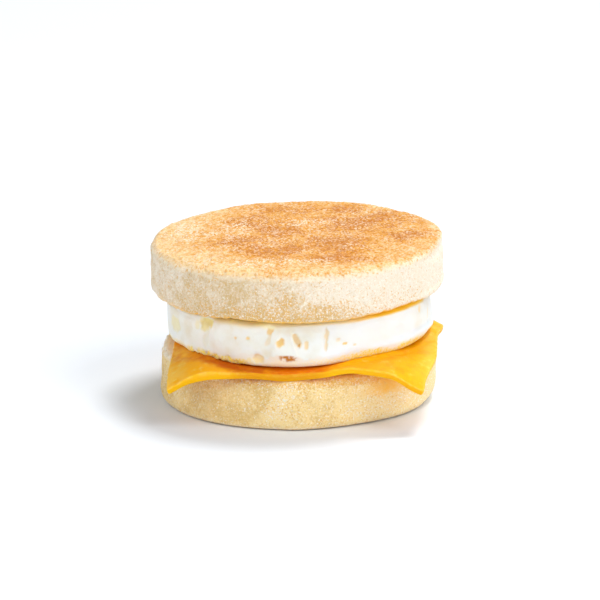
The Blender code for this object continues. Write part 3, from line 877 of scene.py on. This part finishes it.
# Patches of the griddled face: their middle to the right and to the back, half width and half depth
SCORCHED = (
    (-16.5, 18.6, 7.0, 11.0),
    (-19.5, -7.0, 9.0, 6.0),
    (-6.5, -19.0, 13.0, 10.0),
    (-7.0, 5.0, 8.0, 9.0),
    (32.0, 19.0, 13.0, 11.0),
    (17.0, 32.0, 10.0, 8.0),
    (11.0, -12.0, 11.0, 9.0),
    (14.0, -30.0, 12.0, 6.0),
    (-4.0, 35.0, 16.0, 8.0),
    (17.0, 12.0, 12.0, 12.0),
    (36.0, -3.0, 8.0, 6.0),
)
FLOURED = (
    (-21.0, 5.0, 8.0, 9.0),
    (2.0, 13.0, 6.0, 6.0),
    (-8.0, -34.0, 16.0, 5.0),
    (-36.0, 6.0, 6.0, 16.0),
)
PATCH_EDGE = (0.3, 1.4)

# Winding lines: size in millimetres, seed, sharpness, where a line starts and is whole, and its stretch
CROWN_CREASES = (2.6, 54, 3.0, 0.4, 1.0, (1.0, 1.0, 3.0))
CROWN_WRINKLES = (1.4, 57, 3.0, 0.2, 1.0)
CROWN_STREAK_LINES = (2.4, 65, 4.0, 0.5, 1.0, (0.8, 0.8, 3.0))

CROWN_DUSK = (211, 178, 122)
CROWN_PALE = (239, 225, 204)


def winding(points, size, seed, sharp, low, high, stretch=(1.0, 1.0, 1.0)):
    """1 along thin winding lines and 0 between them, in a pattern of that size in millimetres."""
    return rise(1.0 - sharp * np.abs(grain(points, size, seed, stretch)), low, high)


def patches(points, spots, seed):
    """1 inside the patches of that list and 0 outside, with soft uneven edges, seen from above."""
    strongest = np.zeros(len(points))
    uneven = lumps(points, ((0.5, 7.0, seed), (0.3, 2.5, seed + 1)))
    for across, back, half_width, half_depth in spots:
        away = np.hypot((points[:, 0] - across) / half_width, (points[:, 1] - back) / half_depth)
        strongest = np.maximum(strongest, fall(away + uneven, *PATCH_EDGE))
    return strongest


crown = fine_skin("muffin_crown", "crown_bread", CROWN_CELL)
points, normals = skin_points(crown)
x, y, height = points.T
turn = direction(points, Vector())
level = height - STACK_TILT * x
upward = rise(normals[:, 2], *CROWN_FACE_SLOPE)
wall = upright(normals)
low_rim = fall(level, *CROWN_LOW_RIM)
ends = rise(np.abs(x), *CROWN_ENDS)
pit = pores(points, 2)
heights = lumps(points, CROWN_LUMPS) - CROWN_PORE_DEPTH * pit
creases = winding(points, *CROWN_CREASES) * scattered(points, *CROWN_CREASED)
heights -= CROWN_CREASE_DEPTH * creases * wall
torn_depth = CROWN_TORN_DEPTH + CROWN_TORN_ENDS * ends
heights -= torn_depth * low_rim * scattered(points, *CROWN_TEARS)
heights -= CROWN_WRINKLE_DEPTH * winding(points, *CROWN_WRINKLES) * upward
heights += lumps(points, CROWN_FACE_LUMPS) * upward
shoulder = band(normals[:, 2], *CROWN_CORNER_SLOPE)
heights += CROWN_RIGHT_CORNER * shoulder * rise(x, *CROWN_RIGHT_SHOULDER)
heights += CROWN_LEFT_CORNER * shoulder * rise(-x, *CROWN_LEFT_SHOULDER)
low_corner = band(-normals[:, 2], *CROWN_CORNER_SLOPE)
heights += CROWN_LOW_CORNER * low_corner * ends * np.sign(x)
streaked = np.maximum(scattered(points, *CROWN_STREAKS), hump(turn, *CROWN_FRONT_STREAKS))
streak = winding(points, *CROWN_STREAK_LINES) * streaked * band(height, *CROWN_STREAKED) * wall
heights += CROWN_STREAK_RISE * streak
points[:, 2] -= CROWN_LEFT_FALL * rise(-x, *CROWN_LEFT_SIDE) * rise(height, *CROWN_FALL_FROM)
points[:, 0] -= CROWN_RIGHT_TAPER * rise(x, *CROWN_RIGHT_SIDE) * rise(height, *CROWN_TAPER_FROM)
points[:, 2] += CROWN_FRONT_LIFT * hump(turn, *CROWN_OVER_FOLD) * fall(height, *CROWN_LIFT_TO)
carve(crown, points, normals, heights)

underside = 0.9 * rise(-normals[:, 2], *CROWN_UNDER_SLOPE) * (1.0 - 0.8 * ends)
crumb_line = 0.9 * hump(turn, *CROWN_CRUMB_LINE) * fall(level, *CROWN_CRUMB_LINE_TO)
toasted = 0.35 * low_rim * scattered(points, *CROWN_TOASTED)
brown_line = BROWN_LINE + BROWN_LINE_CLIMB * x + lumps(points, BROWN_LINE_RAGGED)
brown_top = brown_line + BROWN_FADE_ABOVE - BROWN_GOLDEN_CORNER * hump(turn, *CROWN_GOLDEN_CORNER)
from_middle = np.hypot(x - BROWN_MIDDLE.x, y - BROWN_MIDDLE.y)
inner = fall(from_middle + lumps(points, BROWN_REACH_RAGGED), *BROWN_REACH)
front_crumb = hump(turn, *CROWN_FRONT) * fall(level, *CROWN_CRUMB_TO)
coarse_crumb = 0.8 * hump(turn, *CROWN_COARSE) * fall(level, *CROWN_COARSE_TO)
front_crumb = np.maximum(front_crumb, coarse_crumb)
# Painted light: the wall is paler toward its lit right and a little on its dull left, less so on the front
# crumb
painted_light_side = rise(x, *CROWN_PAINTED_LIGHT_RIGHT) + 0.25 * rise(-x, *CROWN_PAINTED_LIGHT_LEFT) - 0.7 * front_crumb
mark(crown, "pit", pit)
mark(crown, "torn", np.maximum(0.6 * ends * low_rim, 0.7 * streak))
mark(crown, "cut", np.maximum(np.maximum(underside, toasted), crumb_line))
mark(crown, "browned", rise(height, brown_line - BROWN_FADE_BELOW, brown_top))
mark(crown, "scorch", 0.55 * inner + 0.45 * patches(points, SCORCHED, 61))
mark(crown, "crumb", np.maximum(front_crumb, low_rim) + 0.25 * scattered(points, *CROWN_OPEN_CRUMB))
# On the wall the flour mark is painted light; on the face it holds floury patches
mark(crown, "flour_and_light", (1.0 - upward) * painted_light_side + upward * patches(points, FLOURED, 64))
finish(crown, "muffin_crown_bread", bread(CROWN_DUSK, CROWN_PALE))
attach(crown, "root")
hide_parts("muffin_crown")

# Studio: a plain white table that runs out of sight, lit by five soft boxes and a pale sky.
# The key hangs high at the back right and a second box at the front right, so the shadow falls to the left.
# A third lightens the dull left side, and two low ones reach in under the overhanging crown.

TABLE_HALF = 6.0
TABLE_DULL = (230, 234, 239)
TABLE_WHITE = (233, 237, 242)
SKY = 0.34
SKY_COLOUR = (0.91, 0.955, 1.0, 1.0)

# Direction and elevation in degrees, distance and side in metres, power in watts
SOFT_BOXES = (
    ("key", 54.0, 67.0, 2.1, 0.63, 29.0),
    ("right", -30.0, 52.0, 2.0, 0.88, 12.6),
    ("low_right", -42.0, 14.0, 1.6, 1.1, 8.4),
    ("left", -140.0, 34.0, 2.0, 1.1, 10.8),
    ("low_left", -112.0, 12.0, 1.6, 0.9, 2.0),
)


def table_paint(wire):
    """Smooth white board with a barely seen mottling."""
    return {
        "Base Color": wire.speckle(120.0, 71.0).blend(TABLE_DULL, TABLE_WHITE),
        "Roughness": 0.9,
        "Specular IOR Level": 0.1,
    }


sheet = bpy.data.meshes.new("table")
work = bmesh.new()
bmesh.ops.create_grid(work, x_segments=2, y_segments=2, size=TABLE_HALF)
work.to_mesh(sheet)
work.free()
table = bpy.data.objects.new("table", sheet)
bpy.context.scene.collection.objects.link(table)
finish(table, "table_board", table_paint)

for name, azimuth, elevation, distance, side, power in SOFT_BOXES:
    reach = math.cos(math.radians(elevation)) * distance
    place = Vector((
        reach * math.cos(math.radians(azimuth)),
        reach * math.sin(math.radians(azimuth)),
        math.sin(math.radians(elevation)) * distance,
    ))
    lamp = bpy.data.lights.new(name, "AREA")
    lamp.size = side
    lamp.energy = power
    box = bpy.data.objects.new(name, lamp)
    bpy.context.scene.collection.objects.link(box)
    box.location = place
    box.rotation_euler = (-place).to_track_quat("-Z", "Y").to_euler()

world = bpy.data.worlds.new("white room")
world.use_nodes = True
sky = world.node_tree.nodes["Background"]
sky.inputs["Color"].default_value = SKY_COLOUR
sky.inputs["Strength"].default_value = SKY
bpy.context.scene.world = world
bpy.context.scene.view_settings.view_transform = "Standard"

# Camera: a long lens a little above the sandwich, looking straight at its front.
# Its aim is a little over the middle of the stack, and the view takes in the table round it.

CAMERA_RISE = math.radians(15.9)
CAMERA_AWAY = 1.6
CAMERA_AIM = Vector((0.0007, 0.0, 0.0306))
SENSOR = 36.0
VIEW_WIDTH = 0.19455

lens = bpy.data.cameras.new("camera")
lens.sensor_width = SENSOR
lens.lens = SENSOR * CAMERA_AWAY / VIEW_WIDTH
lens.clip_start = 0.1
lens.clip_end = 20.0
camera = bpy.data.objects.new("camera", lens)
bpy.context.scene.collection.objects.link(camera)
towards = Vector((0.0, math.cos(CAMERA_RISE), -math.sin(CAMERA_RISE)))
camera.location = CAMERA_AIM - towards * CAMERA_AWAY
camera.rotation_euler = towards.to_track_quat("-Z", "Y").to_euler()
bpy.context.scene.camera = camera
